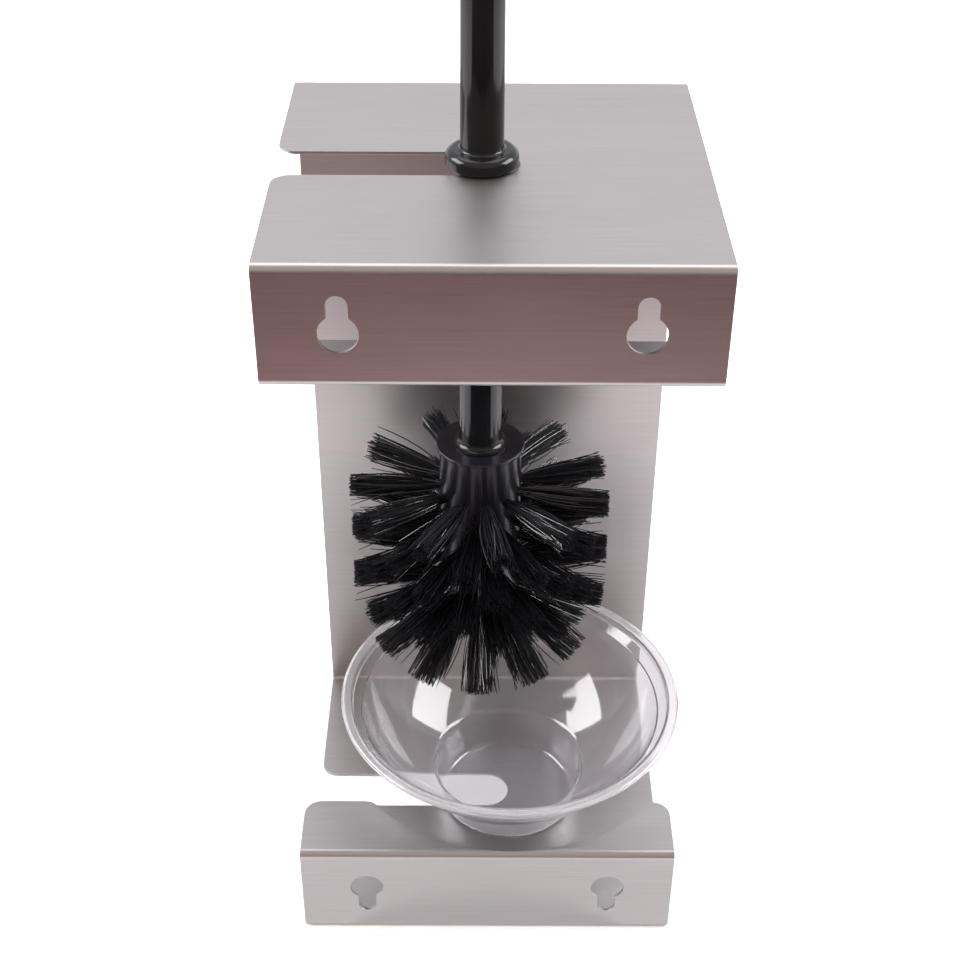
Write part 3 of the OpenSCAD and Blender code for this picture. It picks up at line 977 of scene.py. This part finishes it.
def room_light(own):
    """Light from the room: pale in front, paler low down, dim overhead, dark and warm on the wall side."""
    world = bpy.data.worlds.new("Room")
    bpy.context.scene.world = world
    world.use_nodes = True
    tree = world.node_tree
    tree.nodes.clear()
    output = tree.nodes.new("ShaderNodeOutputWorld")
    direction = tree.nodes.new("ShaderNodeTexCoord")
    parts = tree.nodes.new("ShaderNodeSeparateXYZ")
    tree.links.new(direction.outputs["Generated"], parts.inputs["Vector"])
    wall_side = spread(tree, parts.outputs["Y"], 0.0, 1.0, -0.35, 0.45)
    high_up = spread(tree, parts.outputs["Z"], 0.0, 1.0, 0.75, 0.97)
    near_floor = spread(tree, parts.outputs["Z"], 1.0, 0.0, 0.08, 0.3)
    front = mix_colours(tree, high_up, (0.92, 0.895, 0.915), (0.30, 0.29, 0.29))
    front = mix_colours(tree, near_floor, front, (1.3, 1.28, 1.3))
    overhead = spread(tree, parts.outputs["Z"], 0.0, 1.0, 0.1, 0.4)
    behind = mix_colours(tree, overhead, (0.16, 0.115, 0.11), (0.72, 0.60, 0.51))
    colour = mix_colours(tree, wall_side, front, behind)
    lit = tree.nodes.new("ShaderNodeBackground")
    lit.inputs["Strength"].default_value = own.sky
    tree.links.new(colour, lit.inputs["Color"])
    seen = tree.nodes.new("ShaderNodeBackground")
    seen.inputs["Color"].default_value = (1.0, 1.0, 1.0, 1.0)
    ray = tree.nodes.new("ShaderNodeLightPath")
    choice = tree.nodes.new("ShaderNodeMixShader")
    tree.links.new(ray.outputs["Is Camera Ray"], choice.inputs["Fac"])
    tree.links.new(lit.outputs["Background"], choice.inputs[1])
    tree.links.new(seen.outputs["Background"], choice.inputs[2])
    tree.links.new(choice.outputs["Shader"], output.inputs["Surface"])


def reflector(name, inner, outer, turn, half, height, colour, strength, through=False):
    """A floor card, a ring sector, that glows evenly though it is no lamp, seen by reflections, and
    through clear plastic if through.
    """
    steps = 48
    angles = [turn - half + 2 * half * n / steps for n in range(steps + 1)]
    places = [(inner * math.cos(a), inner * math.sin(a), height) for a in angles]
    places += [(outer * math.cos(a), outer * math.sin(a), height) for a in angles]
    faces = [(n + 1, n, steps + 1 + n, steps + 2 + n) for n in range(steps)]
    card = bpy.data.objects.new(name, mesh_from(name, places, faces))
    bpy.context.scene.collection.objects.link(card)
    material, tree, shader = new_material(name + "_cloth")
    # The card's glow, mottled slightly, is painted light that stands in for lit floor and room surfaces.
    glow_mottle = noise(tree, stretched_place(tree, (30, 30, 30)), detail=3.0)
    dimmer = tuple(0.94 * part for part in colour)
    tree.links.new(mix_colours(tree, glow_mottle, colour, dimmer), shader.inputs["Emission Color"])
    set_values(shader, Roughness=1.0, Specular_IOR_Level=0.0, Emission_Strength=strength)
    shader.inputs["Base Color"].default_value = (0.0, 0.0, 0.0, 1.0)
    card.data.materials.append(material)
    card.visible_camera = False
    card.visible_diffuse = False
    card.visible_transmission = through
    card.visible_shadow = False
    return card


def make_floor():
    half = 6.0
    shape = bmesh.new()
    bmesh.ops.create_grid(shape, x_segments=8, y_segments=8, size=half)
    mesh = bpy.data.meshes.new("Floor")
    shape.to_mesh(mesh)
    shape.free()
    floor = bpy.data.objects.new("Floor", mesh)
    floor.location.z = -FLOOR_SINK
    bpy.context.scene.collection.objects.link(floor)
    floor.data.materials.append(pale_floor())


def make_camera(own):
    data = bpy.data.cameras.new("Camera")
    data.sensor_width = 36.0
    data.lens = own.lens
    data.clip_start = 0.01
    data.dof.use_dof = False
    camera = bpy.data.objects.new("Camera", data)
    bpy.context.scene.collection.objects.link(camera)
    aim = Vector(own.aim)
    flat = math.cos(own.elevation)
    look = Vector((flat * math.cos(own.azimuth), flat * math.sin(own.azimuth), -math.sin(own.elevation)))
    turn = look.to_track_quat("-Z", "Y").to_matrix() @ Matrix.Rotation(own.roll, 3, "Z")
    camera.matrix_world = Matrix.Translation(aim - look * own.distance) @ turn.to_4x4()
    bpy.context.scene.camera = camera


class BRUSHSET_OT_stage(bpy.types.Operator):
    """Set up the pale floor, the soft light and the camera"""

    bl_idname = "brush_set.stage"
    bl_label = "Stage"

    def execute(self, context):
        own = settings("brush_set_stage")
        make_floor()
        wall_side = math.pi / 2
        fan = math.radians(57)
        under = -FLOOR_SINK / 2
        # Slot_card and Near_card glow dimmer than Pale_card: painted shade standing in for the floor's
        # shadow under and around the object, seen in reflections and, for Slot_card, through the clear
        # bowl.
        reflector("Slot_card", inner=0.0, outer=0.055, turn=wall_side, half=math.pi, height=under,
                  colour=PALE_GLOW, strength=0.76, through=True)
        reflector("Pale_card", inner=0.055, outer=3.0, turn=wall_side, half=math.pi, height=under,
                  colour=PALE_GLOW, strength=1.0, through=True)
        reflector("Near_card", inner=0.0, outer=0.076, turn=wall_side, half=fan, height=0.0005,
                  colour=PALE_GLOW, strength=0.8)
        # Bright_card and the two side cards glow brighter than Pale_card: painted light that brightens
        # parts of the floor seen in reflections.
        bright = reflector("Bright_card", inner=0.125, outer=0.262, turn=wall_side, half=fan,
                           height=0.001, colour=PALE_GLOW, strength=1.5)
        for name, aside in (("Side_card_right", -1.54), ("Side_card_left", 1.54)):
            reflector(name, inner=0.1, outer=0.9, turn=wall_side + aside, half=0.54, height=0.0008,
                      colour=PALE_GLOW, strength=1.9)
        warm = reflector("Warm_card", inner=0.262, outer=0.46, turn=wall_side, half=fan, height=0.002,
                         colour=WARM_GLOW, strength=0.93)
        reflector("Dark_card", inner=0.46, outer=3.4, turn=wall_side, half=fan, height=0.002,
                  colour=DARK_GLOW, strength=0.7)
        room_light(own)
        side_lit = everything_but("Side_lit", ("Bent_sheet", "bent_holder"))
        not_handle = everything_but("Card_lit", ("Handle", "handle"))
        for card in (bright, warm):
            card.light_linking.receiver_collection = not_handle
        middle = Vector((0.0, 0.0, 0.12))
        for name, turn, height in (("Soft_box_right", -5, 36), ("Soft_box_left", 185, 31.5)):
            turn, height = math.radians(turn), math.radians(height)
            away = Vector((math.cos(turn) * math.cos(height), math.sin(turn) * math.cos(height),
                           math.sin(height)))
            lamp = area_light(name, middle + away * own.box_distance, middle, width=0.84, height=0.6,
                              power=own.box_power)
            lamp.light_linking.receiver_collection = side_lit
        area_light("Soft_box_overhead", (0.0, -0.45, 1.7), middle, width=1.8, height=1.1,
                   power=own.top_power)
        fill = area_light("Floor_fill", (0.0, 0.0, 2.4), middle, width=3.0, height=3.0,
                          power=own.fill_power)
        fill.visible_glossy = False
        make_camera(own)
        scene = bpy.context.scene
        scene.view_settings.view_transform = "Standard"
        scene.view_settings.look = "None"
        return {"FINISHED"}


# ---------------------------------------------------------------- panel and registration


GROUPS = {
    "brush_set_sheet": SheetSettings,
    "brush_set_bowl": BowlSettings,
    "brush_set_handle": HandleSettings,
    "brush_set_tufts": TuftSettings,
    "brush_set_stage": StageSettings,
}
MAKERS = (BRUSHSET_OT_sheet, BRUSHSET_OT_bowl, BRUSHSET_OT_handle, BRUSHSET_OT_head,
          BRUSHSET_OT_tufts, BRUSHSET_OT_anchors, BRUSHSET_OT_stage)


class BRUSHSET_PT_panel(bpy.types.Panel):
    """Buttons and settings of the brush set"""

    bl_idname = "BRUSHSET_PT_panel"
    bl_label = "Brush Set"
    bl_space_type = "VIEW_3D"
    bl_region_type = "UI"
    bl_category = "Brush Set"

    def draw(self, context):
        for maker in MAKERS:
            self.layout.operator(maker.bl_idname)
        for name, group in GROUPS.items():
            box = self.layout.box()
            box.label(text=group.__doc__)
            for prop in group.__annotations__:
                box.prop(getattr(context.scene, name), prop)


def register():
    for group in GROUPS.values():
        bpy.utils.register_class(group)
    for maker in MAKERS:
        bpy.utils.register_class(maker)
    bpy.utils.register_class(BRUSHSET_PT_panel)
    for name, group in GROUPS.items():
        setattr(bpy.types.Scene, name, bpy.props.PointerProperty(type=group))


def unregister():
    for name in GROUPS:
        delattr(bpy.types.Scene, name)
    bpy.utils.unregister_class(BRUSHSET_PT_panel)
    for maker in reversed(MAKERS):
        bpy.utils.unregister_class(maker)
    for group in reversed(list(GROUPS.values())):
        bpy.utils.unregister_class(group)


def main():
    register()
    bpy.ops.brush_set.sheet()
    bpy.ops.brush_set.bowl()
    bpy.ops.brush_set.handle()
    bpy.ops.brush_set.head()
    bpy.ops.brush_set.tufts()
    bpy.ops.brush_set.anchors()
    bpy.ops.brush_set.stage()


if __name__ == "__main__":
    main()
